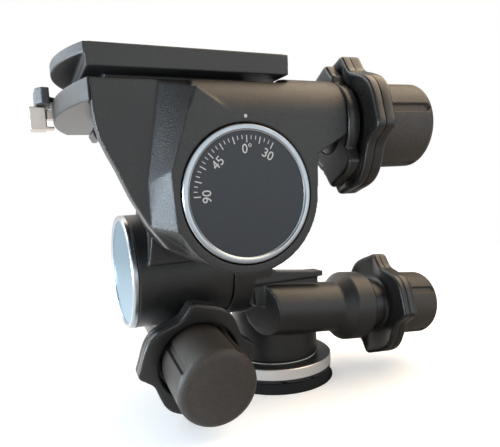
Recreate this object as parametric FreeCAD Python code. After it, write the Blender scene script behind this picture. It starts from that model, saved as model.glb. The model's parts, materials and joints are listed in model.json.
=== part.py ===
import FreeCAD, Part
import math
import os

# Three-way pan and tilt head with three fold-in lock handles.
# Millimetres. Origin: centre of the underside of the base, on the pan axis.
# +X along the tilt barrel to the right, +Y away from the dial side, +Z up.

V = FreeCAD.Vector

# Driving dimensions
base_r = 27.4            # silver band of the base disc
base_z0 = 1.0            # underside of the disc, above the foot ring
base_z1 = 6.5            # top of the disc
neck_r = 20.9            # pan neck
pan_drum_r = 14.5        # drum the pan lock grips
barrel_z = 54.9          # height of the side tilt axis
barrel_r = 24.7          # side tilt barrel
barrel_left = -73.4      # face of the left end cap
barrel_seam = -30.0      # joint between fixed and tilting barrel halves
barrel_right = -12.5     # right end of the fixed barrel half
cap_face_r = barrel_r - 2.4      # pale end face inside its rim
tilt_drum_r = barrel_r - 3.5     # drum the side tilt lock grips
tilt_shaft_r = 12.0      # side tilt shaft
dial_x = -44.7           # front tilt axis, sideways place
dial_z = 86.2            # front tilt axis, height
dial_y = -74.9           # front face of the housing round the dial
dial_ring_r = 21.9       # silver ring, outside
dial_face_r = dial_ring_r - 2.3  # printed disc
sleeve_r = dial_ring_r + 3.4     # housing round the front tilt hub
sleeve_back = -25.3      # back end of the housing sleeve
hub_r = 17.3             # front tilt hub drum
flange_r = 22.5          # hub collar behind the sleeve, at its front
flange_back_r = 17.6     # hub collar at its back
flange_back = 10.0       # back face of the hub collar
ridge_y = -61.1          # axis of the ridge along the top of the housing
ridge_z = 111.0
ridge_r = 13.8
ridge_right = -5.5
plat_z0 = 115.5          # underside of the clamp platform
plat_z1 = 122.3          # top of the clamp platform
plat_front = -67.0
plat_back = 12.0
plat_left = -97.2
plat_right = -26.0
plate_z0 = 124.8         # underside of the camera plate
plate_z1 = 131.4         # top of the camera plate
plate_front = -68.8
plate_back = -15.8
plate_left = -98.0
plate_right = -25.4
knob_r = 24.9            # tips of the lock knob
knob_t = 7.3             # thickness of the lock knob rim
grip_r = 15.4            # handle grip
grip_end = 22.65         # end of the straight part of the grip
rod_r = 3.2
screw_r = 5.0
handle_out = 36.0        # how far a handle pulls out
cam_thread_r = 3.175     # 1/4 inch camera thread
tripod_minor_r = 3.97    # 3/8 inch tripod thread, inside of the ridges

# Clearances
run = 0.05               # running fit, radial
gap = 0.3                # between separate moving castings

# Handle places: centre of the outer knob face, bearing and slope in degrees
HANDLE_A = ((7.3, -61.6, 109.0), 6.0, 0.0, -4.0)
HANDLE_B = ((-50.25, -31.46, 19.8), 91.7, -8.4, -3.8)
HANDLE_C = ((51.2, -20.0, 27.1), 0.0, -5.7, 0.3)


def cyl(r, h, p, d=(0, 0, 1)):
    return Part.makeCylinder(r, h, V(*p), V(*d))


def tube(ro, ri, h, p, d=(0, 0, 1)):
    return cyl(ro, h, p, d).cut(cyl(ri, h, p, d))


def box(x0, x1, y0, y1, z0, z1):
    return Part.makeBox(x1 - x0, y1 - y0, z1 - z0, V(x0, y0, z0))


def turned(profile):
    """Solid of revolution about local Z from (radius, height) corners."""
    pts = [V(r, 0, z) for r, z in profile]
    pts.append(pts[0])
    face = Part.Face(Part.makePolygon(pts))
    return face.revolve(V(0, 0, 0), V(0, 0, 1), 360)


def prism(pts, d):
    pts = [V(*p) for p in pts]
    pts.append(pts[0])
    return Part.Face(Part.makePolygon(pts)).extrude(V(*d))


def along(shape, p, d):
    """Place a local-Z solid with its axis along d at p."""
    n = V(*d)
    n.normalize()
    shape = shape.copy()
    shape.Placement = FreeCAD.Placement(V(*p), FreeCAD.Rotation(V(0, 0, 1), n))
    return shape


def handle_frame(handle):
    """Placement whose Z runs out along the handle and Y points up."""
    c, bearing, slope, turn = handle
    b = math.radians(bearing)
    e = math.radians(slope)
    n = V(math.cos(b) * math.cos(e), -math.sin(b) * math.cos(e), math.sin(e))
    s = V(0, 0, 1).cross(n)
    s.normalize()
    t = n.cross(s)
    m = FreeCAD.Matrix(s.x, t.x, n.x, c[0], s.y, t.y, n.y, c[1],
                       s.z, t.z, n.z, c[2], 0, 0, 0, 1)
    return FreeCAD.Placement(m)


def put(shape, handle):
    shape = shape.copy()
    shape.Placement = handle_frame(handle)
    return shape


def save(node, shape):
    shape.exportStep("parts/" + node + ".step")


SWIRL = ((0, 1.0), (2.5, 0.985), (5, 0.945), (9, 0.93), (20, 0.937), (34, 0.94),
         (44, 0.908), (52, 0.864), (62, 0.822), (70, 0.81), (76, 0.84),
         (82, 0.915), (86.5, 0.985))


def swirl(tip_r, z0, z1, turn):
    """Four-tipped swirl plate; turn is measured clockwise from up."""
    pts = []
    for k in range(4):
        for a, f in SWIRL:
            w = math.radians(turn + 90 * k + a)
            pts.append(V(math.sin(w) * tip_r * f, math.cos(w) * tip_r * f, z0))
    curve = Part.BSplineCurve()
    curve.interpolate(Points=pts, PeriodicFlag=True)
    face = Part.Face(Part.Wire([curve.toShape()]))
    return face.extrude(V(0, 0, z1 - z0))


# Base and pan axis

drum_top = 36.0
neck_z0 = base_z1 + 0.3
stub_r = 8.0
clip_z = 38.8            # groove of the circlip


def base_disc():
    c = 0.5
    body = turned([(0, base_z0), (base_r - c, base_z0), (base_r, base_z0 + c),
                   (base_r, base_z1 - c), (base_r - c, base_z1), (0, base_z1)])
    body = body.cut(cyl(10.0, 10, (0, 0, 0)))
    for x, y in screw_ring_places():
        body = body.cut(cyl(1.25, 10, (x, y, 0)))
        body = body.cut(cyl(2.4, 2.0, (x, y, base_z0)))
    return body


def screw_ring_places():
    r = 12.6
    return [(r * math.cos(math.radians(a)), r * math.sin(math.radians(a)))
            for a in (90, 210, 330)]


def base_screws():
    out = []
    for x, y in screw_ring_places():
        s = cyl(2.4, 1.9, (x, y, base_z0 + 0.1)).fuse(cyl(1.25, 12, (x, y, base_z0 + 1.0)))
        s = s.cut(cyl(1.1, 1.0, (x, y, base_z0)))
        out.append(s)
    return Part.makeCompound(out)


def base_ring():
    ring = tube(base_r - 0.2, 17.0, base_z0, (0, 0, 0))
    for k in range(12):
        a = math.radians(30 * k + 10)
        notch = box(base_r - 1.4, base_r + 2, -1.2, 1.2, 0, 0.6)
        notch.rotate(V(0, 0, 0), V(0, 0, 1), math.degrees(a))
        ring = ring.cut(notch)
    return ring


def base_insert():
    return tube(7.5, tripod_minor_r, 13.0, (0, 0, 0))


def pan_spindle():
    s = cyl(10.0, base_z1 - base_z0, (0, 0, base_z0))
    s = s.fuse(cyl(pan_drum_r, drum_top - base_z1, (0, 0, base_z1)))
    s = s.fuse(cyl(stub_r, 5.0, (0, 0, drum_top)))
    s = s.cut(tube(stub_r + 1, 7.2, 1.0, (0, 0, clip_z)))
    s = s.cut(cyl(7.5, 13.0 - base_z0, (0, 0, base_z0)))
    s = s.cut(cyl(4.2, 60, (0, 0, 0)))
    for x, y in screw_ring_places():
        s = s.cut(cyl(1.25, 12.4 - base_z1 + 2, (x, y, base_z1)))
    return s


def pan_circlip():
    c = tube(9.6, 7.2, 0.9, (0, 0, clip_z + 0.05))
    return c.cut(box(6.0, 11, -2, 2, clip_z - 1, clip_z + 2))


def pan_washer():
    return tube(neck_r - 0.4, pan_drum_r + 0.1, neck_z0 - base_z1, (0, 0, base_z1))


def pan_bush():
    return tube(17.0, pan_drum_r + run, 5.0, (0, 0, neck_z0))


tube_c_r = 11.7
shaft_right = -17.0
cap_x = -15.6            # floor of the recess for the barrel cap
cap_r = 6.8
collar_c_r = 16.2


def lock_bores(plug_r, z_plug0, z_plug1, z_face):
    """Local bores of a tangent lock: screw, wedge chamber, blind end."""
    b = cyl(screw_r + run, z_face - (-53.5), (0, 0, -53.5))
    return b.fuse(cyl(plug_r + run, z_plug1 - z_plug0, (0, 0, z_plug0)))


def pan_housing():
    neck = turned([(0, neck_z0), (neck_r - 0.6, neck_z0), (neck_r, neck_z0 + 0.6),
                   (neck_r, 37.6), (neck_r - 1.4, 39.4), (12.0, 42.8), (0, 42.8)])
    half = cyl(barrel_r, barrel_right - barrel_seam, (barrel_seam, 0, barrel_z), (1, 0, 0))
    top = [(-20, 60), (-14, 54.2), (-9.7, 51.1), (-2.9, 50.2), (2.2, 49.6), (7.8, 49.0), (14.3, 48.7)]
    plate = prism([(x, -24.0, z) for x, z in top + [(14.3, 46.2), (-20, 46.2)]], (0, 7.6, 0))
    web = box(-20, 12.6, -22.6, -17.2, 36.0, 46.4)
    ledge = plate.fuse(web)
    arm = turned([(0, -75), (tube_c_r, -75), (tube_c_r, -31), (tube_c_r + 0.5, -30),
                  (collar_c_r - 0.6, -26), (collar_c_r, -25), (collar_c_r, -15.8),
                  (collar_c_r - 0.5, -15.3), (0, -15.3)])
    arm = put(arm, HANDLE_C)
    # slanted left end of the lock arm
    cutter = box(-60, 0, -60, 60, -20, 80)
    cutter.rotate(V(0, 0, 0), V(0, 0, 1), 15)
    cutter.translate(V(-16.1, -20, 0))
    arm = arm.cut(cutter)
    pad = box(-6, 16, 12, 24.5, 27, 39)
    body = neck.fuse(half).fuse(ledge).fuse(arm).fuse(pad)
    body = body.cut(cyl(17.0, 5.0, (0, 0, neck_z0)))
    body = body.cut(cyl(15.2, drum_top + 0.3 - neck_z0 - 5, (0, 0, neck_z0 + 5)))
    body = body.cut(cyl(stub_r + run, 5, (0, 0, drum_top)))
    body = body.cut(cyl(10.5, 3.2, (0, 0, clip_z - 0.3)))
    body = body.cut(put(lock_bores(6.5, -50, -22, -15.0), HANDLE_C))
    body = body.cut(cyl(tilt_shaft_r, shaft_right - barrel_seam, (barrel_seam, 0, barrel_z), (1, 0, 0)))
    body = body.cut(cyl(cap_r, 3.2, (cap_x, 0, barrel_z), (1, 0, 0)))
    body = body.cut(cyl(4.0, 17, (-3.5, 21.5, 33), (1, 0, 0)))
    body = body.cut(box(-1.5, 11.5, 21.5, 26, 31, 35))
    return body.removeSplitter()


def pan_level():
    v = cyl(4.0, 17, (-3.5, 21.5, 33), (1, 0, 0))
    return v


def barrel_cap():
    return along(turned([(0, 0), (cap_r, 0), (cap_r, 2.3), (cap_r - 0.5, 2.8), (0, 2.8)]),
                 (cap_x, 0, barrel_z), (1, 0, 0))


def tilt_spindle():
    s = cyl(tilt_shaft_r, shaft_right + 44.0, (-44.0, 0, barrel_z), (1, 0, 0))
    s = s.fuse(cyl(tilt_drum_r, 18.0, (-62.0, 0, barrel_z), (1, 0, 0)))
    s = s.cut(cyl(14.0, 12.0, (-62.0, 0, barrel_z), (1, 0, 0)))
    return s.cut(cyl(5.0, 60.0, (-62.0, 0, barrel_z), (1, 0, 0)))


# Side tilt body

barrel_body_left = barrel_left + 2.4
cavity_r = tilt_drum_r + 0.35
seam_gap = barrel_seam - gap


def tilt_barrel():
    body = along(turned([(0, 0), (barrel_r - 0.3, 0), (barrel_r, 0.3),
                         (barrel_r, seam_gap - barrel_body_left - 0.3),
                         (barrel_r - 0.3, seam_gap - barrel_body_left),
                         (0, seam_gap - barrel_body_left)]),
                 (barrel_body_left, 0, barrel_z), (1, 0, 0))
    deep = flange_back - (sleeve_back + 0.4)
    collar = along(turned([(0, 0), (flange_r, 0), (flange_back_r + 1, deep - 1), (flange_back_r, deep),
                           (0, deep)]), (dial_x, sleeve_back + 0.4, dial_z), (0, 1, 0))
    drum = cyl(hub_r, sleeve_back + 1 + 66.0, (dial_x, -66.0, dial_z), (0, 1, 0))
    saddle = prism([(x, sleeve_back + 0.4, z) for x, z in
                    ((-66.5, 60), (seam_gap, 60), (seam_gap, dial_z), (-62.2, dial_z))], (0, deep, 0))
    boss = put(turned([(0, -57), (11.6, -57), (12.8, -55.5), (12.8, -13.4),
                       (12.0, -12.6), (0, -12.6)]), HANDLE_B)
    free = cyl(barrel_r + 0.6, 40, (seam_gap, 0, barrel_z), (1, 0, 0))
    collar = collar.cut(free)
    body = body.fuse(collar).fuse(drum).fuse(saddle).fuse(boss)
    body = body.cut(cyl(cavity_r, 30, (-73.7, 0, barrel_z), (1, 0, 0)))
    body = body.cut(cyl(14.0, 20, (-44.0, 0, barrel_z), (1, 0, 0)))
    body = body.cut(cyl(6.0, 30, (dial_x, -66.0, dial_z), (0, 1, 0)))
    body = body.cut(put(lock_bores(10.6, -35, -17, -12.0), HANDLE_B))
    return body.removeSplitter()


def tilt_bush():
    return tube(14.0, tilt_shaft_r + run, 13.2, (-43.6, 0, barrel_z), (1, 0, 0))


def tilt_retainer():
    return tube(cavity_r, 9.0, 2.7, (-65.0, 0, barrel_z), (1, 0, 0))


def tilt_cap_ring():
    prof = [(cap_face_r, 0.4), (cap_face_r + 0.4, 0), (barrel_r - 0.5, 0), (barrel_r, 0.5),
            (barrel_r, 2.4), (cap_face_r, 2.4)]
    return along(turned(prof), (barrel_left, 0, barrel_z), (1, 0, 0))


def tilt_cap_face():
    return cyl(cap_face_r, 1.8, (barrel_left + 0.6, 0, barrel_z), (1, 0, 0))


recess_y = -70.7         # floor of the dial recess
closure_y = -66.3        # inner face of the housing front wall


def dial_spindle():
    s = cyl(dial_ring_r, 1.6, (dial_x, recess_y - gap - 1.6, dial_z), (0, 1, 0))
    return s.fuse(cyl(6.0, 35, (dial_x, recess_y - gap, dial_z), (0, 1, 0)))


flange_front = recess_y - gap - 1.6


def dial_ring():
    prof = [(dial_face_r, 0), (dial_ring_r, 0), (dial_ring_r, 2.3), (dial_ring_r - 0.5, 2.8),
            (dial_face_r + 0.4, 2.8), (dial_face_r, 2.4)]
    return along(turned(prof), (dial_x, flange_front, dial_z), (0, -1, 0))


def dial_face():
    return cyl(dial_face_r, 2.2, (dial_x, flange_front, dial_z), (0, -1, 0))


# Front tilt body

def upper_housing():
    arc = []
    for a in range(200, 361, 8):
        w = math.radians(a)
        arc.append((dial_x + sleeve_r * math.cos(w), dial_y, dial_z + sleeve_r * math.sin(w)))
    front = [(-58.9, dial_y, 125.5), (-69.3, dial_y, 94.0), (-68.6, dial_y, 79.5)] + arc
    front += [(-18.7, dial_y, 98.3), (-7.6, dial_y, 104.4), (ridge_right, dial_y, 106.5),
              (ridge_right, dial_y, 125.5)]
    block = prism(front, (0, ridge_y + ridge_r - dial_y, 0))
    # side profile of the ridge: straight front, half round top
    side = box(-100, 20, dial_y, ridge_y + ridge_r, 50, ridge_z)
    side = side.fuse(cyl(ridge_r, 120, (-100, ridge_y, ridge_z), (1, 0, 0)))
    block = block.common(side)
    sleeve = cyl(sleeve_r, sleeve_back + 60, (dial_x, -60, dial_z), (0, 1, 0))
    saddle = box(-66, -20, -60, sleeve_back, 92, plat_z0)
    # swept side wall running out to the bracket
    w0 = [V(-59.9, dial_y, 119.0), V(-69.3, dial_y, 94.0), V(-68.4, dial_y, 75.9),
          V(-56, dial_y, 68.0), V(-50, dial_y, 112.0)]
    w1 = [V(-69.5, plat_front, 122.0), V(-74.6, plat_front, 91.0), V(-74.6, plat_front, 77.5),
          V(-56, plat_front, 64.0), V(-50, plat_front, 122.0)]
    w0.append(w0[0])
    w1.append(w1[0])
    wall = Part.makeLoft([Part.makePolygon(w0), Part.makePolygon(w1)], True, True)
    edge = [(-89.6, 122.3), (-89.3, 115.3), (-88.9, 110.0), (-87.8, 105.0), (-85.9, 100.4),
            (-83.7, 95.8), (-79.8, 86.7), (-75.1, 78.1), (-69.5, 70.5), (-60, 66), (-50, 80),
            (-50, plat_z1)]
    bracket = prism([(x, plat_front, z) for x, z in edge], (0, 5.0, 0))
    body = block.fuse(wall).fuse(bracket).fuse(sleeve).fuse(saddle)
    body = body.cut(box(plat_left - 3, plat_right + 0.3, -90, 0, plat_z1, plat_z1 + 18))
    body = body.cut(cyl(dial_ring_r + 0.35, recess_y - dial_y, (dial_x, dial_y, dial_z), (0, 1, 0)))
    body = body.cut(cyl(8.0, 5, (dial_x, recess_y, dial_z), (0, 1, 0)))
    body = body.cut(cyl(hub_r + 0.1, 50, (dial_x, closure_y, dial_z), (0, 1, 0)))
    body = body.cut(put(lock_bores(7.0, -51, -24, -5), HANDLE_A))
    body = body.cut(put(cyl(60, 40, (0, 0, -12.6)), HANDLE_A))
    for x, y in platform_screw_places():
        body = body.cut(cyl(1.6, 12, (x, y, plat_z0 - 10)))
    return body.removeSplitter()


def dial_bush():
    return tube(8.0, 6.0 + run, closure_y - recess_y, (dial_x, recess_y, dial_z), (0, 1, 0))


def platform_screw_places():
    return [(-62, -43), (-62, -30), (-28.5, -43), (-28.5, -30)]


def end_arc(left, y0, y1, sag, z):
    m = (y0 + y1) / 2
    return Part.Arc(V(left + sag, y1, z), V(left, m, z), V(left + sag, y0, z)).toShape()


def slab(left, right, y0, y1, sag, z0, z1, both=False):
    arc = end_arc(left, y0, y1, sag, z0)
    pts = [V(left + sag, y0, z0), V(right, y0, z0)]
    if both:
        far = Part.Arc(V(right, y0, z0), V(right + sag, (y0 + y1) / 2, z0), V(right, y1, z0))
        edges = [arc, Part.makeLine(pts[0], pts[1]), far.toShape(),
                 Part.makeLine(V(right, y1, z0), V(left + sag, y1, z0))]
    else:
        edges = [arc, Part.makeLine(pts[0], pts[1]),
                 Part.makeLine(V(right, y0, z0), V(right, y1, z0)),
                 Part.makeLine(V(right, y1, z0), V(left + sag, y1, z0))]
    return Part.Face(Part.Wire(edges)).extrude(V(0, 0, z1 - z0))


pivot_x = -86.0
pivot_y = -6.0
stem_y = -18.2
catch_in = 2.2


def clamp_platform(housing):
    body = slab(plat_left, plat_right, plat_front, plat_back, 7.2, plat_z0, plat_z1)
    body = body.cut(housing)
    body = max(body.Solids, key=lambda s: s.Volume)
    jaw = box(-38, -30, -44, -20, plat_z1, plate_z0 - 0.1)
    jaw = jaw.cut(box(-39, -37.7, -50, -10, 120, 130))
    lug = prism([(x, -38.0, z) for x, z in ((-82.6, plat_z0), (-85.9, 110.0), (-84.6, 107.7),
                                            (-83.2, 107.7), (-80.3, 111.5), (-79.0, plat_z0))],
                (0, 11.7, 0))
    body = body.fuse(jaw).fuse(lug)
    body = body.cut(cyl(2.5, 10, (pivot_x, pivot_y, plat_z0 + 1.5)))
    # bore of the sprung catch, open at the rim
    body = body.cut(box(-110, -88.0, stem_y - 2.6, stem_y + 2.6, 117.2, 120.6))
    body = body.cut(cyl(3.0, 24, (-72, plat_back - 2.6, plat_z1 - 2.2), (1, 0, 0)))
    for x, y in platform_screw_places():
        body = body.cut(cyl(1.6, 20, (x, y, 110)))
        body = body.cut(cyl(3.1, 2.2, (x, y, plat_z1 - 2.2)))
    return body.removeSplitter()


def platform_screws():
    out = []
    for x, y in platform_screw_places():
        s = cyl(3.1, 2.0, (x, y, plat_z1 - 2.2)).fuse(cyl(1.6, 14, (x, y, plat_z1 - 16)))
        out.append(s.cut(cyl(1.4, 1.2, (x, y, plat_z1 - 1.4))))
    return Part.makeCompound(out)


def head_level():
    return cyl(3.0, 24, (-72, plat_back - 2.6, plat_z1 - 2.2), (1, 0, 0)).common(
        box(-80, -40, 0, plat_back, 110, plat_z1))


def lever_pin():
    return cyl(2.5, 7.3, (pivot_x, pivot_y, plat_z0 + 1.5))


lever_z0 = plat_z1 + gap
lever_z1 = plate_z0 - gap


def quick_lever():
    hub = cyl(6.0, lever_z1 - lever_z0, (pivot_x, pivot_y, lever_z0))
    arm = prism([(pivot_x - 3, pivot_y + 5, lever_z0), (-99.5, -11.0, lever_z0),
                 (-99.5, -26.5, lever_z0), (pivot_x + 4, pivot_y - 4, lever_z0)],
                (0, 0, lever_z1 - lever_z0))
    nose = prism([(pivot_x - 4, pivot_y - 3, lever_z0), (-85, -20.5, lever_z0),
                  (-80.5, -20.5, lever_z0), (pivot_x + 5, pivot_y, lever_z0)],
                 (0, 0, lever_z1 - lever_z0))
    thumb = prism([(-98.0, -27.5, 121.7), (-100.6, -27.8, 121.7), (-102.6, -25.2, 121.7),
                   (-103.0, -14.5, 121.7), (-101.2, -10.6, 121.7), (-98.0, -10.4, 121.7)],
                  (0, 0, 5.6))
    body = hub.fuse(arm).fuse(nose).fuse(thumb)
    return body.cut(cyl(2.5 + run, 10, (pivot_x, pivot_y, 120))).removeSplitter()


def catch_button():
    block = box(-104.9, -99.4, -23.0, -13.6, 114.0, 121.3)
    foot = box(-104.9, -99.6, -23.0, -13.6, 113.3, 114.2)
    foot = foot.fuse(box(-99.8, -97.0, -23.0, -18.4, 113.3, 114.2))
    stem = box(-99.5, -90.6, stem_y - 2.5, stem_y + 2.5, 117.3, 120.5)
    return block.fuse(foot).fuse(stem).removeSplitter()


# Camera plate

screw_x = -57.7
screw_y = (plate_front + plate_back) / 2
cam_shank_r = 2.7        # undercut that keeps the screw in the plate
thread_z0 = 132.6


def camera_plate():
    top = slab(plate_left, plate_right, plate_front, plate_back, 7.4, plate_z0 + 3.3, plate_z1, True)
    low = box(-90.2, plate_right, plate_front, plate_back, plate_z0, plate_z0 + 3.3)
    tongue = box(-84, -38.3, -60, -24, plat_z1 + gap, plate_z0)
    body = top.fuse(low).fuse(tongue)
    body = body.cut(cyl(cam_thread_r + 0.1, 20, (screw_x, screw_y, 120)))
    body = body.cut(cyl(9.0, 4.0, (screw_x, screw_y, plat_z1)))
    return body.removeSplitter()


def plate_pad():
    pad = slab(plate_left + 3, plate_right - 3 + 3, plate_front + 3, plate_back - 3, 6.2,
               plate_z1, plate_z1 + 0.9, True)
    return pad.cut(box(screw_x - 5, screw_x + 5, screw_y - 5, screw_y + 5, plate_z1 - 1.4, plate_z1 + 3.6))


def camera_screw():
    s = cyl(8.8, 2.6, (screw_x, screw_y, plat_z1 + 0.9))
    s = s.fuse(cyl(cam_shank_r, 10.0, (screw_x, screw_y, plat_z1 + 0.9)))
    s = s.fuse(cyl(cam_thread_r, 4.4, (screw_x, screw_y, thread_z0)))
    slot = box(screw_x - 9, screw_x + 9, screw_y - 0.8, screw_y + 0.8, 120, plat_z1 + 2.3)
    return s.cut(slot)


# Handles

hub_ab_r = 10.0
hub_c_r = 12.0


def friction_ring(handle):
    r = swirl(22.1, -12.3, -7.6, handle[3] + 8)
    return put(r.cut(cyl(hub_ab_r + run, 20, (0, 0, -20))), handle)


def lock_knob(handle, hub_back, hub_radius):
    body = swirl(knob_r, -knob_t, 0, handle[3])
    body = body.fuse(cyl(hub_radius, hub_back - knob_t + 0.1, (0, 0, -hub_back)))
    body = body.cut(cyl(grip_r + 1.1, 6, (0, 0, -5.4)))
    return put(body.cut(cyl(screw_r, 40, (0, 0, -30))), handle)


def lock_screw(handle):
    return put(tube(screw_r, rod_r + run, 53.2 - 5.4, (0, 0, -53.2)), handle)


def clamp_plug(handle, r, z0, z1, axis, drum):
    body = put(tube(r, screw_r + run, z1 - z0, (0, 0, z0)), handle)
    p, d = axis
    return body.cut(cyl(drum + 0.15, 400, p, d))


def handle_rod(handle):
    return put(cyl(rod_r, 50 + 20, (0, 0, -50)), handle)


def handle_grip(handle, groove):
    prof = [(0, -4.9), (grip_r - 0.5, -4.9), (grip_r, -4.4), (grip_r, grip_end - 1.2)]
    for a in range(15, 76, 15):
        w = math.radians(a)
        prof.append((grip_r - 2.6 + 2.6 * math.cos(w), grip_end - 1.2 + 2.6 * math.sin(w)))
    prof += [(grip_r * 0.72, grip_end + 1.75), (grip_r * 0.45, grip_end + 2.1), (0, grip_end + 2.3)]
    body = turned(prof)
    for a in (groove, groove + 120, groove + 240):
        g = box(-1.4, 1.4, grip_r - 1.2, grip_r + 2, 2, 60)
        g.rotate(V(0, 0, 0), V(0, 0, 1), -a)
        body = body.cut(g)
    body = body.cut(cyl(rod_r, 30, (0, 0, -10)))
    return put(body, handle)


def main():
    os.makedirs("parts", exist_ok=True)
    save("base_disc", base_disc())
    save("base_ring", base_ring())
    save("base_insert", base_insert())
    save("base_screws", base_screws())
    save("pan_spindle", pan_spindle())
    save("pan_circlip", pan_circlip())
    save("pan_washer", pan_washer())
    save("pan_bush", pan_bush())
    save("pan_housing", pan_housing())
    save("pan_level", pan_level())
    save("barrel_cap", barrel_cap())
    save("tilt_spindle", tilt_spindle())
    save("tilt_barrel", tilt_barrel())
    save("tilt_bush", tilt_bush())
    save("tilt_retainer", tilt_retainer())
    save("tilt_cap_ring", tilt_cap_ring())
    save("tilt_cap_face", tilt_cap_face())
    save("dial_spindle", dial_spindle())
    save("dial_ring", dial_ring())
    save("dial_face", dial_face())
    housing = upper_housing()
    save("upper_housing", housing)
    save("dial_bush", dial_bush())
    save("clamp_platform", clamp_platform(housing))
    save("platform_screws", platform_screws())
    save("head_level", head_level())
    save("lever_pin", lever_pin())
    save("quick_lever", quick_lever())
    save("catch_button", catch_button())
    save("camera_plate", camera_plate())
    save("plate_pad", plate_pad())
    save("camera_screw", camera_screw())
    x_axis = ((-200, 0, barrel_z), (1, 0, 0))
    y_axis = ((dial_x, -200, dial_z), (0, 1, 0))
    z_axis = ((0, 0, -100), (0, 0, 1))
    for name, h, back, hr, groove, plug in (
            ("a", HANDLE_A, 12.3, hub_ab_r, 60, (7.0, -49.5, -37.5, y_axis, hub_r)),
            ("b", HANDLE_B, 12.3, hub_ab_r, 45, (10.6, -33.0, -20.0, x_axis, tilt_drum_r)),
            ("c", HANDLE_C, 15.0, hub_c_r, 64, (6.5, -48.0, -36.0, z_axis, pan_drum_r))):
        if name != "c":
            save("friction_ring_" + name, friction_ring(h))
        save("lock_knob_" + name, lock_knob(h, back, hr))
        save("lock_screw_" + name, lock_screw(h))
        save("clamp_plug_" + name, clamp_plug(h, *plug))
        save("handle_rod_" + name, handle_rod(h))
        save("handle_grip_" + name, handle_grip(h, groove))


main()
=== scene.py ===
"""Looks of the three-way pan and tilt head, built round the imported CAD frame."""

import json
import math

import bmesh
import bpy
from mathutils import Matrix, Vector

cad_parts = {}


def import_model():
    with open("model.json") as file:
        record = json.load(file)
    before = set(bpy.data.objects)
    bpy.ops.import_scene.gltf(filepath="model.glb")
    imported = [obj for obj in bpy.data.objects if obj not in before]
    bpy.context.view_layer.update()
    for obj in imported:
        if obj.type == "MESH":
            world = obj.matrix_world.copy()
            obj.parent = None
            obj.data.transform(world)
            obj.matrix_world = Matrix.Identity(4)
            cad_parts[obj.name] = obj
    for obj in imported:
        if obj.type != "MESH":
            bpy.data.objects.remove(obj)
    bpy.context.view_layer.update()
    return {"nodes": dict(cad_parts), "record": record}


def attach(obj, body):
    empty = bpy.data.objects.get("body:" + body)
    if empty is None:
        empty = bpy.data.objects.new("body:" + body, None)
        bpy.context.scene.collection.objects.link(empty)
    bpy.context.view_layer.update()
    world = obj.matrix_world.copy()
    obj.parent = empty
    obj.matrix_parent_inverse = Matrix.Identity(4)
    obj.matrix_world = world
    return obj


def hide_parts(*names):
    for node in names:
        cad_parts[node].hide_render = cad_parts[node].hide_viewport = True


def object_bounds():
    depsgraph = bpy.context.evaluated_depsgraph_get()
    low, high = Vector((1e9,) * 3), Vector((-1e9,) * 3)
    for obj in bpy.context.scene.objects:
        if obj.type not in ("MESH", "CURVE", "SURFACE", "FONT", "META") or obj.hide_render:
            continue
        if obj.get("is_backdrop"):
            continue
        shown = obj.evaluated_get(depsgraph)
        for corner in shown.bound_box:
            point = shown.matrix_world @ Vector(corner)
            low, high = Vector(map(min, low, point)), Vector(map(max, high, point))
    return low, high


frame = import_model()
nodes = frame["nodes"]

MM = 0.001
FRAME_W, FRAME_H = 500, 447

# Camera: solved from the dial, barrel end, base band and plate edges
CAM_AT = Vector((-108.8, -212.0, 87.5)) * MM
CAM_YAW, CAM_PITCH, CAM_ROLL = 0.4092, 0.0926, -0.05467
CAM_F = 482.95
CAM_PP = (238.3, 235.7)

# Places shared with the CAD, in millimetres
DIAL = Vector((-44.7, -74.8, 86.2))
DIAL_RING_R, DIAL_FACE_R = 21.9, 19.6
BARREL_Z, BARREL_R, BARREL_LEFT = 54.9, 24.7, -73.4
KNOB_R, GRIP_R, GRIP_END = 24.9, 15.4, 22.65
BAND_R = 27.4
KNOB_INNER_R = 12.5
FRICTION_R, FRICTION_TURN = 22.1, 8
# Each lock: middle of the knob's front, heading and rise of its axis, turn of the swirl,
# first groove of the grip, radius and length of the hub
HANDLES = {
    "a": ((7.3, -61.6, 109.0), 6.0, 0.0, -4.0, 18, 10.0, 12.3),
    "b": ((-50.25, -31.46, 19.8), 91.7, -8.4, -3.8, 36, 10.0, 12.3),
    "c": ((51.2, -20.0, 27.1), 0.0, -5.7, 0.3, 34, 12.0, 15.0),
}
# Swirl outline over a quarter turn: degrees and share of the tip radius
SWIRL = ((0, 1.0), (2.5, 0.99), (6, 0.972), (12, 0.952), (20, 0.944), (34, 0.94),
         (44, 0.908), (52, 0.864), (62, 0.822), (70, 0.81), (76, 0.84),
         (82, 0.915), (86.5, 0.985))
GROOVES, GROOVE_DEEP, GROOVE_HALF, GROOVE_SIDE = 4, 1.05, 1.75, 0.62
GROOVE_TOP = GRIP_END - 1.6 - 1.35
WING_LOW, WING_RISE, WING_TURN, WING_HALF, WING_EASE = 15.4, 7.2, 14, 38, 14
MARK_OUTER, NUMBER_R, NUMBER_SIZE = 18.35, 14.0, 4.1
DOT_Y, DOT_UP = -74.75, 24.1

# Light, in metres and strengths
LIGHT_AIM = Vector((-0.035, -0.03, 0.075))
FILL_GLOW, ROOM_GLOW = 0.34, 0.14
STAND_R = 0.0285


# Camera and light

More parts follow.
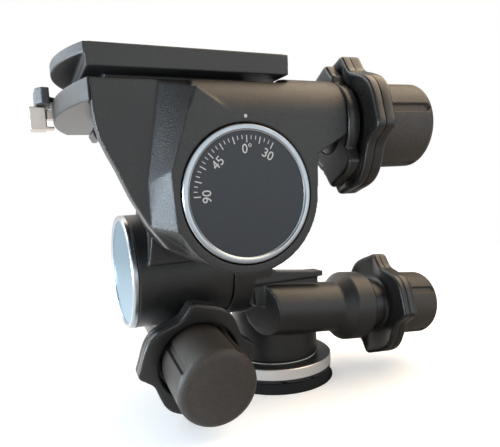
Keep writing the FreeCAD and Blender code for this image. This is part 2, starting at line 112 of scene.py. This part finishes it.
def camera():
    d = Vector((math.sin(CAM_YAW) * math.cos(CAM_PITCH),
                math.cos(CAM_YAW) * math.cos(CAM_PITCH), -math.sin(CAM_PITCH)))
    r = Vector((math.cos(CAM_YAW), -math.sin(CAM_YAW), 0))
    u = r.cross(d)
    r2 = math.cos(CAM_ROLL) * r + math.sin(CAM_ROLL) * u
    u2 = -math.sin(CAM_ROLL) * r + math.cos(CAM_ROLL) * u
    data = bpy.data.cameras.new("camera")
    data.sensor_width = 36
    data.lens = CAM_F / FRAME_W * 36
    data.shift_x = (FRAME_W / 2 - CAM_PP[0]) / FRAME_W
    data.shift_y = (CAM_PP[1] - FRAME_H / 2) / FRAME_W
    data.clip_start = 0.01
    data.clip_end = 20
    cam = bpy.data.objects.new("camera", data)
    bpy.context.scene.collection.objects.link(cam)
    m = Matrix((r2, u2, -d)).transposed().to_4x4()
    m.translation = CAM_AT
    cam.matrix_world = m
    bpy.context.scene.camera = cam


def area(name, turn, rise, far, size, glow, colour):
    """Soft box seen from the object at a turn from the front and a rise, with a given glow."""
    data = bpy.data.lights.new(name, "AREA")
    data.shape = "RECTANGLE"
    data.size, data.size_y = size
    data.energy = glow * math.pi * size[0] * size[1]
    data.color = colour
    ob = bpy.data.objects.new(name, data)
    bpy.context.scene.collection.objects.link(ob)
    a, e = math.radians(turn), math.radians(rise)
    way = Vector((math.sin(a) * math.cos(e), -math.cos(a) * math.cos(e), math.sin(e)))
    ob.location = LIGHT_AIM + way * far
    ob.rotation_euler = (-way).to_track_quat("-Z", "Y").to_euler()
    ob.visible_camera = False


def world():
    w = bpy.data.worlds.new("studio")
    bpy.context.scene.world = w
    w.use_nodes = True
    nt = w.node_tree
    nt.nodes.clear()
    out = nt.nodes.new("ShaderNodeOutputWorld")
    seen = nt.nodes.new("ShaderNodeBackground")
    seen.inputs["Color"].default_value = (1, 1, 1, 1)
    fill = nt.nodes.new("ShaderNodeBackground")
    fill.inputs["Color"].default_value = (0.93, 0.96, 1.0, 1)
    fill.inputs["Strength"].default_value = FILL_GLOW
    path = nt.nodes.new("ShaderNodeLightPath")
    most = nt.nodes.new("ShaderNodeMath")
    most.operation = "MAXIMUM"
    nt.links.new(path.outputs["Is Camera Ray"], most.inputs[0])
    nt.links.new(path.outputs["Is Transmission Ray"], most.inputs[1])
    # Glossy rays see the white backdrop behind and to the left of the object,
    # and a dim room elsewhere
    way = nt.nodes.new("ShaderNodeSeparateXYZ")
    nt.links.new(nt.nodes.new("ShaderNodeTexCoord").outputs["Generated"], way.inputs[0])
    behind = nt.nodes.new("ShaderNodeMapRange")
    behind.inputs["From Min"].default_value = 0.15
    behind.inputs["From Max"].default_value = 0.75
    lean = nt.nodes.new("ShaderNodeMath")
    lean.operation = "MULTIPLY_ADD"
    lean.inputs[1].default_value = -0.6
    nt.links.new(way.outputs[0], lean.inputs[0])
    nt.links.new(way.outputs[1], lean.inputs[2])
    nt.links.new(lean.outputs[0], behind.inputs[0])
    room = nt.nodes.new("ShaderNodeBackground")
    room.inputs["Color"].default_value = (0.86, 0.93, 1.0, 1)
    room.inputs["Strength"].default_value = ROOM_GLOW
    shown = nt.nodes.new("ShaderNodeMixShader")
    nt.links.new(behind.outputs[0], shown.inputs[0])
    nt.links.new(room.outputs[0], shown.inputs[1])
    nt.links.new(seen.outputs[0], shown.inputs[2])
    near = nt.nodes.new("ShaderNodeMixShader")
    nt.links.new(path.outputs["Is Glossy Ray"], near.inputs[0])
    nt.links.new(fill.outputs[0], near.inputs[1])
    nt.links.new(shown.outputs[0], near.inputs[2])
    mix = nt.nodes.new("ShaderNodeMixShader")
    nt.links.new(most.outputs[0], mix.inputs[0])
    nt.links.new(near.outputs[0], mix.inputs[1])
    nt.links.new(seen.outputs[0], mix.inputs[2])
    nt.links.new(mix.outputs[0], out.inputs[0])


camera()
world()
area("window_left", -92, -1, 0.70, (0.60, 0.22), 26.0, (0.74, 0.88, 1.0))
area("sky_left", -125, 32, 0.72, (0.56, 0.42), 3.2, (0.80, 0.92, 1.0))
area("lamp_right", 76, 54, 0.72, (0.90, 0.66), 3.7, (1.0, 0.80, 0.58))
area("room_front", 16, 9, 0.85, (1.5, 0.74), 1.3, (0.86, 0.94, 1.0))
area("wall_back", 178, 48, 0.75, (0.50, 0.30), 1.8, (1.0, 0.84, 0.66))


# Materials

class Build:
    """A principled material and short calls for its texture nodes."""

    def __init__(self, name):
        self.m = bpy.data.materials.new(name)
        self.m.use_nodes = True
        self.nt = self.m.node_tree
        self.bsdf = self.nt.nodes["Principled BSDF"]
        self.pos = self.nt.nodes.new("ShaderNodeTexCoord").outputs["Object"]

    def set(self, **kw):
        for k, v in kw.items():
            self.bsdf.inputs[k.replace("_", " ")].default_value = v
        return self

    def scaled(self, sx, sy, sz):
        n = self.nt.nodes.new("ShaderNodeMapping")
        n.inputs["Scale"].default_value = (sx, sy, sz)
        self.nt.links.new(self.pos, n.inputs["Vector"])
        return n.outputs[0]

    def noise(self, scale, detail=3.0, rough=0.55, vector=None):
        n = self.nt.nodes.new("ShaderNodeTexNoise")
        n.inputs["Scale"].default_value = scale
        n.inputs["Detail"].default_value = detail
        n.inputs["Roughness"].default_value = rough
        self.nt.links.new(vector or self.pos, n.inputs["Vector"])
        return n.outputs["Fac"]

    def ramp(self, fac, stops):
        n = self.nt.nodes.new("ShaderNodeValToRGB")
        while len(n.color_ramp.elements) < len(stops):
            n.color_ramp.elements.new(0.5)
        for e, (p, c) in zip(n.color_ramp.elements, stops):
            e.position = p
            e.color = (*c, 1)
        self.nt.links.new(fac, n.inputs[0])
        return n.outputs[0]

    def mix(self, fac, a, b):
        n = self.nt.nodes.new("ShaderNodeMix")
        n.data_type = "RGBA"
        for sock, v in ((n.inputs[0], fac), (n.inputs[6], a), (n.inputs[7], b)):
            if isinstance(v, (tuple, float, int)):
                sock.default_value = (*v, 1) if isinstance(v, tuple) else v
            else:
                self.nt.links.new(v, sock)
        return n.outputs[2]

    def math(self, op, a, b=0.0):
        n = self.nt.nodes.new("ShaderNodeMath")
        n.operation = op
        for sock, v in ((n.inputs[0], a), (n.inputs[1], b)):
            if isinstance(v, (float, int)):
                sock.default_value = v
            else:
                self.nt.links.new(v, sock)
        return n.outputs[0]

    def remap(self, fac, lo, hi):
        n = self.nt.nodes.new("ShaderNodeMapRange")
        n.inputs["To Min"].default_value = lo
        n.inputs["To Max"].default_value = hi
        self.nt.links.new(fac, n.inputs[0])
        return n.outputs[0]

    def colour(self, out):
        self.nt.links.new(out, self.bsdf.inputs["Base Color"])

    def rough(self, out):
        self.nt.links.new(out, self.bsdf.inputs["Roughness"])

    def bump(self, *layers):
        last = None
        for fac, strength, dist in layers:
            n = self.nt.nodes.new("ShaderNodeBump")
            n.inputs["Strength"].default_value = strength
            n.inputs["Distance"].default_value = dist * MM
            self.nt.links.new(fac, n.inputs["Height"])
            if last:
                self.nt.links.new(last, n.inputs["Normal"])
            last = n.outputs[0]
        self.nt.links.new(last, self.bsdf.inputs["Normal"])


def speckled(name, dark, light, rough, grain, strength, level, patch=0.25):
    """Textured coat or moulded skin: fine grain, slow tone drift and worn gloss."""
    b = Build(name)
    g = b.noise(grain, 2.5, 0.6)
    slow = b.noise(38, 3)
    tone = b.ramp(g, ((0.36, dark), (0.68, light)))
    drift = b.ramp(slow, ((0.3, tuple(c * (1 - patch) for c in dark)), (0.75, light)))
    b.colour(b.mix(0.35, tone, drift))
    b.rough(b.remap(b.noise(60, 4), rough[0], rough[1]))
    b.bump((b.noise(grain, 3, 0.65), min(1.0, strength * 2.6), 0.17),
           (b.noise(grain * 0.22, 2), strength * 0.4, 0.12))
    b.set(Specular_IOR_Level=level)
    return b.m


def metal(name, tint, rough, grain, stretch=(1, 1, 1), aniso=0.0, strength=0.12):
    b = Build(name)
    v = b.scaled(*stretch)
    n = b.noise(grain, 3, 0.6, v)
    b.colour(b.ramp(n, ((0.3, tuple(c * 0.86 for c in tint)), (0.72, tint))))
    b.rough(b.remap(b.noise(grain * 0.4, 3, 0.5, v), rough[0], rough[1]))
    b.bump((n, strength, 0.02))
    b.set(Metallic=1.0, Anisotropic=aniso)
    return b.m


def base_band():
    """Turned base: bright round its edge, black on all that lies further in."""
    b = Build("base_band")
    sep = b.nt.nodes.new("ShaderNodeSeparateXYZ")
    b.nt.links.new(b.pos, sep.inputs[0])
    x, y = sep.outputs[0], sep.outputs[1]
    r = b.math("SQRT", b.math("ADD", b.math("MULTIPLY", x, x), b.math("MULTIPLY", y, y)))
    edge = b.math("GREATER_THAN", r, (BAND_R - 0.3) * MM)
    turn = b.scaled(30, 30, 2600)
    lines = b.noise(6, 4, 0.6, turn)
    fine = b.noise(2400, 2)
    bright = b.ramp(lines, ((0.3, (0.80, 0.79, 0.78)), (0.7, (0.92, 0.91, 0.90))))
    black = b.ramp(fine, ((0.35, (0.026, 0.0255, 0.025)), (0.7, (0.048, 0.047, 0.046))))
    b.colour(b.mix(edge, black, bright))
    b.nt.links.new(b.math("MULTIPLY", edge, 0.6), b.bsdf.inputs["Metallic"])
    b.rough(b.remap(edge, 0.46, 0.36))
    b.bump((lines, 0.10, 0.02), (fine, 0.08, 0.02))
    b.set(Anisotropic=0.5)
    return b.m


def dial_print():
    b = Build("dial_print")
    fine = b.noise(2600, 3, 0.7)
    slow = b.noise(55, 2)
    tone = b.ramp(fine, ((0.3, (0.009, 0.0115, 0.0165)), (0.7, (0.019, 0.0235, 0.032))))
    b.colour(b.mix(b.remap(slow, 0.1, 0.4), tone, (0.014, 0.0180, 0.0250)))
    b.rough(b.remap(slow, 0.42, 0.50))
    b.bump((fine, 0.10, 0.02))
    b.set(Specular_IOR_Level=0.5)
    return b.m


def cap_pale():
    """Polished pale end cap with a faint rolled grain; its blue tint is a painted reflection of
    the cool left window light.
    """
    b = Build("cap_pale")
    streak = b.noise(5, 3, 0.5, b.scaled(30, 60, 900))
    slow = b.noise(45, 2)
    # Pale polished metal tone, tinted blue: the blue is a painted reflection of the cool left
    # window light
    b.colour(b.mix(b.remap(slow, 0.2, 0.7), (0.40, 0.50, 0.58), (0.52, 0.62, 0.69)))
    b.rough(b.remap(streak, 0.16, 0.24))
    b.bump((streak, 0.03, 0.01))
    # Blue specular tint: painted reflection of the cool left window light on the pale metal
    b.set(Metallic=1.0, Specular_Tint=(0.56, 0.67, 0.75, 1))
    return b.m


def liquid():
    b = Build("level_liquid")
    slow = b.noise(120, 2)
    b.colour(b.mix(b.remap(slow, 0.0, 0.5), (0.50, 0.74, 0.16), (0.62, 0.82, 0.25)))
    b.rough(b.remap(slow, 0.03, 0.07))
    b.set(Transmission_Weight=0.55, IOR=1.47)
    return b.m


MAT = {
    "paint_body": speckled("paint_body", (0.0075, 0.0072, 0.0072), (0.024, 0.023, 0.022),
                           (0.30, 0.38), 2300, 0.30, 0.5),
    "paint_plate": speckled("paint_plate", (0.014, 0.014, 0.0142), (0.026, 0.026, 0.0265),
                            (0.40, 0.47), 2800, 0.12, 0.5),
    "machined_base": base_band(),
    "foot_black": speckled("foot_black", (0.020, 0.020, 0.022), (0.036, 0.036, 0.038),
                           (0.5, 0.6), 2000, 0.2, 0.3),
    "brass_insert": metal("brass_insert", (0.72, 0.55, 0.27), (0.22, 0.32), 400),
    "steel_inner": metal("steel_inner", (0.58, 0.58, 0.58), (0.22, 0.34), 500, (1, 1, 14)),
    "steel_screw": metal("steel_screw", (0.34, 0.34, 0.35), (0.28, 0.38), 600),
    "bush_plastic": speckled("bush_plastic", (0.70, 0.68, 0.60), (0.78, 0.76, 0.69),
                             (0.3, 0.4), 900, 0.05, 0.4, 0.05),
    "ring_satin": metal("ring_satin", (0.43, 0.46, 0.49), (0.25, 0.31), 260,
                        (1, 1, 1), 0.2, 0.015),
    "dial_print": dial_print(),
    "cap_pale": cap_pale(),
    "grip_soft": speckled("grip_soft", (0.016, 0.0125, 0.010), (0.058, 0.047, 0.039),
                          (0.42, 0.52), 2100, 0.42, 0.5, 0.15),
    "knob_plastic": speckled("knob_plastic", (0.0085, 0.0080, 0.0078), (0.021, 0.0195, 0.0185),
                             (0.25, 0.32), 2300, 0.14, 0.5, 0.15),
    "lever_grey": speckled("lever_grey", (0.052, 0.058, 0.064), (0.088, 0.096, 0.104),
                           (0.34, 0.44), 1900, 0.2, 0.45, 0.1),
    "catch_nickel": metal("catch_nickel", (0.55, 0.48, 0.42), (0.28, 0.36), 300,
                          (1, 1, 1), 0.0, 0.02),
    "level_liquid": liquid(),
    "pad_rubber": speckled("pad_rubber", (0.040, 0.038, 0.035), (0.070, 0.066, 0.060),
                           (0.6, 0.75), 1700, 0.4, 0.3),
}
PRINT = speckled("print_grey", (0.42, 0.42, 0.42), (0.56, 0.56, 0.56),
                 (0.5, 0.6), 2600, 0.05, 0.3, 0.05)
SLOT_OF = {s["node"]: s["material_slot"] for s in frame["record"]["subparts"]}

for name, ob in nodes.items():
    if ob.data.materials:
        for i in range(len(ob.data.materials)):
            ob.data.materials[i] = MAT[SLOT_OF[name]]
    else:
        ob.data.materials.append(MAT[SLOT_OF[name]])

BODY_OF = {n: body for body, ns in frame["record"]["behaviour"]["bodies"].items() for n in ns}


# Mesh helpers

def piece(name, verts, faces, body, slot, smooth=40.0, material=None):
    me = bpy.data.meshes.new(name)
    me.from_pydata([tuple(v) for v in verts], [], faces)
    me.validate()
    bm = bmesh.new()
    bm.from_mesh(me)
    bmesh.ops.remove_doubles(bm, verts=bm.verts, dist=1e-7)
    bmesh.ops.recalc_face_normals(bm, faces=bm.faces)
    bm.to_mesh(me)
    bm.free()
    return wrap(name, me, body, slot, smooth, material)


def wrap(name, me, body, slot, smooth=40.0, material=None):
    ob = bpy.data.objects.new(name, me)
    bpy.context.scene.collection.objects.link(ob)
    me.materials.clear()
    me.materials.append(material or MAT[slot])
    me.polygons.foreach_set("use_smooth", [True] * len(me.polygons))
    if smooth < 180:
        me.set_sharp_from_angle(angle=math.radians(smooth))
    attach(ob, body)
    return ob


def loft(rings, closed_start=False, closed_end=False):
    """Quads between rings of equal length, each a list of points."""
    verts = [p for ring in rings for p in ring]
    n = len(rings[0])
    faces = []
    for k in range(len(rings) - 1):
        for i in range(n):
            j = (i + 1) % n
            faces.append((k * n + i, k * n + j, (k + 1) * n + j, (k + 1) * n + i))
    if closed_start:
        faces.append(tuple(range(n))[::-1])
    if closed_end:
        base = (len(rings) - 1) * n
        faces.append(tuple(base + i for i in range(n)))
    return verts, faces


def axes(n, up=(0, 0, 1)):
    n = Vector(n).normalized()
    s = Vector(up).cross(n).normalized()
    return s, n.cross(s), n


def handle_axes(h):
    b, e = math.radians(h[1]), math.radians(h[2])
    return axes((math.cos(b) * math.cos(e), -math.sin(b) * math.cos(e), math.sin(e)))


def lathe(name, profile, centre, normal, body, slot, seg, smooth=40.0, material=None):
    """Turned piece from (radius, height) points along a normal; a zero radius closes it."""
    s, t, n = axes(normal)
    c = Vector(centre)
    rings = []
    for r, z in profile:
        rings.append([(c + n * z + (s * math.cos(w) + t * math.sin(w)) * max(r, 0.001)) * MM
                      for w in (2 * math.pi * i / seg for i in range(seg))])
    v, f = loft(rings, profile[0][0] < 0.01, profile[-1][0] < 0.01)
    return piece(name, v, f, body, slot, smooth, material)


def rounded(profile, radius, steps=4):
    """Profile with its inner corners turned into small arcs."""
    out = [profile[0]]
    for a, b, c in zip(profile, profile[1:], profile[2:]):
        a, b, c = Vector(a), Vector(b), Vector(c)
        u, v = a - b, c - b
        if u.length < 1e-6 or v.length < 1e-6:
            out.append(tuple(b))
            continue
        k = min(radius, u.length * 0.45, v.length * 0.45)
        p, q = b + u.normalized() * k, b + v.normalized() * k
        for i in range(steps + 1):
            f = i / steps
            out.append(tuple((1 - f) ** 2 * p + 2 * f * (1 - f) * b + f * f * q))
    out.append(profile[-1])
    return out


def cast(name, voxel, passes):
    """Casting with soft fillets: the CAD solid's own surface, resampled and eased."""
    ob = bpy.data.objects.new(name + ".cast", nodes[name].data.copy())
    bpy.context.scene.collection.objects.link(ob)
    weld = ob.modifiers.new("weld", "WELD")
    weld.merge_threshold = 1e-6
    mesh = ob.modifiers.new("mesh", "REMESH")
    mesh.mode = "VOXEL"
    mesh.voxel_size = voxel * MM
    ease = ob.modifiers.new("ease", "SMOOTH")
    ease.factor = 0.5
    ease.iterations = passes
    dg = bpy.context.evaluated_depsgraph_get()
    done = bpy.data.meshes.new_from_object(ob.evaluated_get(dg))
    bpy.data.objects.remove(ob)
    done.name = name + ".cast"
    out = wrap(name + ".cast", done, BODY_OF[name], SLOT_OF[name], 180)
    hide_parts(name)


# Castings

cast("upper_housing", 0.42, 4)
cast("tilt_barrel", 0.45, 3)
cast("pan_housing", 0.42, 4)
cast("clamp_platform", 0.38, 2)
cast("camera_plate", 0.34, 1)
cast("quick_lever", 0.26, 3)
cast("catch_button", 0.18, 2)


# Knobs and handles

def swirl_radius(tip):
    """Radius of the swirl outline by angle, smooth and periodic."""
    xs = [a for a, _ in SWIRL]
    ys = [f for _, f in SWIRL]
    xs = [xs[-2] - 90, xs[-1] - 90] + xs + [90 + xs[0], 90 + xs[1]]
    ys = [ys[-2], ys[-1]] + ys + [ys[0], ys[1]]

    def at(deg):
        d = deg % 90
        for i in range(1, len(xs) - 2):
            if xs[i] <= d < xs[i + 1]:
                break
        x0, x1 = xs[i], xs[i + 1]
        m0 = (ys[i + 1] - ys[i - 1]) / (xs[i + 1] - xs[i - 1])
        m1 = (ys[i + 2] - ys[i]) / (xs[i + 2] - xs[i])
        h = x1 - x0
        t = (d - x0) / h
        return tip * ((2 * t ** 3 - 3 * t ** 2 + 1) * ys[i] + (t ** 3 - 2 * t ** 2 + t) * h * m0
                      + (-2 * t ** 3 + 3 * t ** 2) * ys[i + 1] + (t ** 3 - t ** 2) * h * m1)
    return at


def wings(a, turn):
    """Largest radius of a two-winged ring, which drops back between its wings."""
    best = 0.0
    for k in range(2):
        d = (a - turn - WING_TURN - 180 * k + 180) % 360 - 180
        best = max(best, min(1.0, max(0.0, (WING_HALF - abs(d)) / WING_EASE)))
    return WING_LOW + WING_RISE * best * best * (3 - 2 * best)


def ring_round(handle, z, radius, seg):
    """Points round a handle's axis at height z, with radius(a) at a degrees."""
    s, t, n = handle_axes(handle)
    mid = Vector(handle[0]) + n * z
    ring = []
    for i in range(seg):
        a = 360 * i / seg
        w = math.radians(a)
        ring.append((mid + (s * math.sin(w) + t * math.cos(w)) * radius(a)) * MM)
    return ring


def swirl_piece(name, handle, tip, turn, rings, body, slot, winged=False):
    """rings: (fixed radius or None, inset from the swirl outline, z) from front to back."""
    swirl = swirl_radius(tip)

    def outline(fixed, inset):
        def at(a):
            if fixed is not None:
                return fixed
            edge = min(swirl(a - turn), wings(a, turn)) if winged else swirl(a - turn)
            return max(edge - inset, KNOB_INNER_R)
        return at

    v, f = loft([ring_round(handle, z, outline(fixed, inset), 360) for fixed, inset, z in rings])
    return piece(name, v, f, body, slot, 50)


KNOB_FRONT = ((5.2, 0, -5.4), (16.3, 0, -5.4), (16.5, 0, -5.1), (16.5, 0, -1.0), (16.65, 0, -0.45),
              (17.0, 0, -0.12), (17.6, 0, 0.0), (None, 1.3, 0.0), (None, 0.8, -0.05),
              (None, 0.42, -0.2), (None, 0.16, -0.46), (None, 0.03, -0.85), (None, 0, -1.4),
              (None, 0, -3.75), (None, 0.06, -3.95), (None, 0.4, -4.05), (None, 0.4, -4.2),
              (None, 0.06, -4.3), (None, 0, -4.5), (None, 0, -6.1), (None, 0.05, -6.6),
              (None, 0.25, -7.0), (None, 0.6, -7.22), (None, 1.1, -7.3), (None, 1.9, -7.22),
              (None, 2.8, -6.9),
              (14.6, 0, -6.25), (13.4, 0, -6.3))
RING_SHAPE = ((10.06, 0, -7.7), (14.0, 0, -8.1), (None, 2.6, -8.1), (None, 1.8, -7.66),
              (None, 1.0, -7.62), (None, 0.4, -7.85), (None, 0.06, -8.4), (None, 0, -9.0),
              (None, 0, -11.2),
              (None, 0.25, -11.9), (None, 0.9, -12.3), (None, 2.0, -12.3), (10.06, 0, -12.3),
              (10.06, 0, -7.7))


def groove_depth(a, z, first):
    """Depth of the finger grooves along a grip at angle a and height z."""
    best = 0.0
    for k in range(GROOVES):
        d = (a - first - 360 // GROOVES * k + 180) % 360 - 180
        x = abs(math.radians(d)) * GRIP_R
        if z > GROOVE_TOP:
            x = math.hypot(x, z - GROOVE_TOP)
        best = max(best, min(1.0, max(0.0, (GROOVE_HALF - x) / GROOVE_SIDE)))
    return GROOVE_DEEP * best * best * (3 - 2 * best)


def grip(key, handle):
    """Soft grip: grooved barrel with a drawn-in foot, a rounded shoulder and a low dome."""
    first, seg = handle[4], 540
    zs = [-4.9, -4.8, -4.6, -4.2, -3.6] + [-3 + 0.8 * i for i in range(25)]
    zs += [17.0 + 0.34 * i for i in range(13)]
    shoulder = GRIP_END - 1.9
    rings = []
    for z in (z for z in zs if z <= shoulder):
        lead = 0.5 * max(0.0, min(1.0, (-4.2 - z) / 0.7)) ** 2
        rings.append(ring_round(
            handle, z, lambda a: GRIP_R - lead - groove_depth(a, z, first), seg))
    cap = []
    for i in range(1, 13):
        w = math.radians(90 * i / 12)
        cap.append((GRIP_R - 3.6 + 3.6 * math.cos(w), shoulder + 2.9 * math.sin(w)))
    for share in (0.70, 0.58, 0.44, 0.3, 0.15, 0.0):
        cap.append((GRIP_R * share, GRIP_END + 2.28 - 1.28 * (share / 0.766) ** 2))
    for r, z in cap:
        grooved = r > 8
        rings.append(ring_round(
            handle, z,
            lambda a: max(r - groove_depth(a, z, first) if grooved else r, 0.001), seg))
    v, f = loft(rings, True, True)
    ob = piece("handle_grip_" + key + ".skin", v, f, "grip_" + key, "grip_soft", 60)
    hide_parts("handle_grip_" + key)


for key, h in HANDLES.items():
    hub, back = h[5], h[6]
    tail = ((hub + 1.2, 0, -6.4), (hub + 0.4, 0, -6.8), (hub, 0, -7.5), (hub, 0, -back + 0.4),
            (hub - 0.4, 0, -back), (5.2, 0, -back), (5.2, 0, -5.4))
    knob = swirl_piece("lock_knob_" + key + ".skin", h, KNOB_R, h[3], KNOB_FRONT + tail,
                       "lock_" + key, "knob_plastic")
    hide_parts("lock_knob_" + key)
    grip(key, h)
    if key != "c":
        ring = swirl_piece("friction_ring_" + key + ".skin", h, FRICTION_R, h[3] + FRICTION_TURN,
                           RING_SHAPE, "friction_" + key, "knob_plastic", True)
        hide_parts("friction_ring_" + key)


# Dial: ring, scale and numbers

ring_profile = [(DIAL_FACE_R, -2.2), (DIAL_FACE_R, -0.1), (DIAL_FACE_R + 0.12, 0.12),
                (DIAL_FACE_R + 0.35, 0.2), (DIAL_FACE_R + 0.7, 0.5), (DIAL_RING_R - 0.75, 0.56),
                (DIAL_RING_R - 0.3, 0.42), (DIAL_RING_R - 0.05, 0.1), (DIAL_RING_R, -0.3),
                (DIAL_RING_R, -2.2), (DIAL_FACE_R, -2.2)]
ring = lathe("dial_ring.turned", ring_profile, DIAL, (0, -1, 0), BODY_OF["dial_ring"],
             "ring_satin", 240, smooth=30)
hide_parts("dial_ring")


def dial_point(a, r, lift):
    """Point on the dial: a in degrees clockwise from the top, seen from the front."""
    w = math.radians(a)
    return Vector((DIAL.x + r * math.sin(w), DIAL.y - lift, DIAL.z + r * math.cos(w))) * MM


def scale_marks():
    verts, faces = [], []
    for a in range(-90, 31, 5):
        inner, half = (16.1, 0.17) if a % 15 == 0 else (17.1, 0.13)
        k = len(verts)
        for lift in (-0.02, 0.03):
            for r, side in ((inner, -1), (inner, 1), (MARK_OUTER, 1), (MARK_OUTER, -1)):
                off = math.degrees(half / r) * side
                verts.append(dial_point(a + off, r, lift))
        faces += [(k + 4, k + 5, k + 6, k + 7), (k, k + 1, k + 5, k + 4),
                  (k + 1, k + 2, k + 6, k + 5), (k + 2, k + 3, k + 7, k + 6),
                  (k + 3, k, k + 4, k + 7), (k + 3, k + 2, k + 1, k)]
    piece("dial_scale", verts, faces, BODY_OF["dial_face"], "dial_print", 30, PRINT)


def number(text, a):
    cu = bpy.data.curves.new("dial_number_" + str(abs(a)), "FONT")
    cu.body = text
    cu.size = NUMBER_SIZE * MM
    cu.align_x = "CENTER"
    cu.align_y = "CENTER"
    cu.extrude = 0.02 * MM
    cu.offset = 0.012 * MM
    ob = bpy.data.objects.new("dial_number_" + str(abs(a)), cu)
    bpy.context.scene.collection.objects.link(ob)
    w = math.radians(a)
    right = Vector((math.cos(w), 0, -math.sin(w)))
    up = Vector((math.sin(w), 0, math.cos(w)))
    m = Matrix((right, up, Vector((0, -1, 0)))).transposed().to_4x4()
    m.translation = dial_point(a, NUMBER_R, 0.02)
    ob.matrix_world = m
    cu.materials.append(PRINT)
    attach(ob, BODY_OF["dial_face"])


scale_marks()
for text, a in (("90", -90), ("45", -45), ("0°", 0), ("30", 30)):
    number(text, a)

lathe("index_dot", [(0.62, 0.0), (0.6, 0.12), (0.42, 0.24), (0.2, 0.29), (0.0, 0.3)],
      (DIAL.x, DOT_Y, DIAL.z + DOT_UP), (0, -1, 0), BODY_OF["upper_housing"], "ring_satin", 32,
      material=PRINT)


# Left end cap rim

cap_profile = rounded([(22.3, 2.2), (22.3, 0.5), (22.75, 0.0), (24.1, 0.0), (BARREL_R, 0.7),
                       (BARREL_R, 2.4), (22.3, 2.4)], 0.28)
rim = lathe("tilt_cap_ring.turned", cap_profile, (BARREL_LEFT, 0, BARREL_Z), (1, 0, 0),
            BODY_OF["tilt_cap_ring"], "ring_satin", 220, smooth=35)
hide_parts("tilt_cap_ring")


# Floor

def floor():
    """Pale floor that glows into the backdrop, with a dark disc under the base."""
    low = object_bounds()[0][2] - 0.0004
    n = 96
    radii = (0.0265, 0.0268, 0.0268, 0.032, 0.12, 0.6, 3.0)
    heights = (-0.0005, -0.0008, low, low, low, low, low)
    verts, faces = [(0, 0, -0.0005)], []
    for r, z in zip(radii, heights):
        verts += [(r * math.cos(2 * math.pi * i / n), r * math.sin(2 * math.pi * i / n), z)
                  for i in range(n)]
    for i in range(n):
        j = (i + 1) % n
        faces.append((0, 1 + i, 1 + j))
        for k in range(len(radii) - 1):
            a, b = 1 + k * n, 1 + (k + 1) * n
            faces.append((a + i, b + i, b + j, a + j))
    me = bpy.data.meshes.new("floor")
    me.from_pydata(verts, [], faces)
    ob = bpy.data.objects.new("floor", me)
    bpy.context.scene.collection.objects.link(ob)
    b = Build("floor_pale")
    dist = b.nt.nodes.new("ShaderNodeVectorMath")
    dist.operation = "LENGTH"
    b.nt.links.new(b.pos, dist.inputs[0])
    far = b.nt.nodes.new("ShaderNodeMapRange")
    far.inputs["From Min"].default_value = 0.12
    far.inputs["From Max"].default_value = 0.55
    b.nt.links.new(dist.outputs["Value"], far.inputs[0])
    grain = b.ramp(b.noise(300, 2), ((0.3, (0.86, 0.86, 0.86)), (0.7, (0.89, 0.89, 0.89))))
    seen = b.nt.nodes.new("ShaderNodeLightPath")
    most = b.math("MAXIMUM", seen.outputs["Is Camera Ray"], seen.outputs["Is Transmission Ray"])
    side = b.nt.nodes.new("ShaderNodeSeparateXYZ")
    b.nt.links.new(b.pos, side.inputs[0])
    left = b.nt.nodes.new("ShaderNodeMapRange")
    left.inputs["From Min"].default_value = -0.04
    left.inputs["From Max"].default_value = 0.09
    across = b.math("SUBTRACT", b.math("MULTIPLY", side.outputs[1], 0.5), side.outputs[0])
    b.nt.links.new(across, left.inputs[0])
    shine = b.math("MULTIPLY", seen.outputs["Is Glossy Ray"], left.outputs[0])
    pale = b.mix(b.math("MAXIMUM", most, shine), (0.26, 0.25, 0.24), grain)
    stand = b.math("GREATER_THAN", dist.outputs["Value"], STAND_R)
    b.colour(b.mix(stand, (0.022, 0.022, 0.023), pale))
    lift = b.nt.nodes.new("ShaderNodeEmission")
    glowing = b.math("ADD", b.math("MULTIPLY", most, 0.34), b.math("MULTIPLY", shine, 0.5))
    b.nt.links.new(b.math("MULTIPLY", glowing, stand), lift.inputs["Strength"])
    both = b.nt.nodes.new("ShaderNodeAddShader")
    b.nt.links.new(b.bsdf.outputs[0], both.inputs[0])
    b.nt.links.new(lift.outputs[0], both.inputs[1])
    b.set(Roughness=0.9, Specular_IOR_Level=0.1)
    glow = b.nt.nodes.new("ShaderNodeEmission")
    glow.inputs["Strength"].default_value = 1.0
    mix = b.nt.nodes.new("ShaderNodeMixShader")
    b.nt.links.new(far.outputs[0], mix.inputs[0])
    b.nt.links.new(both.outputs[0], mix.inputs[1])
    b.nt.links.new(glow.outputs[0], mix.inputs[2])
    b.nt.links.new(mix.outputs[0], b.nt.nodes["Material Output"].inputs["Surface"])
    me.materials.append(b.m)
    ob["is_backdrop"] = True


floor()

bpy.context.scene.view_settings.view_transform = "Standard"
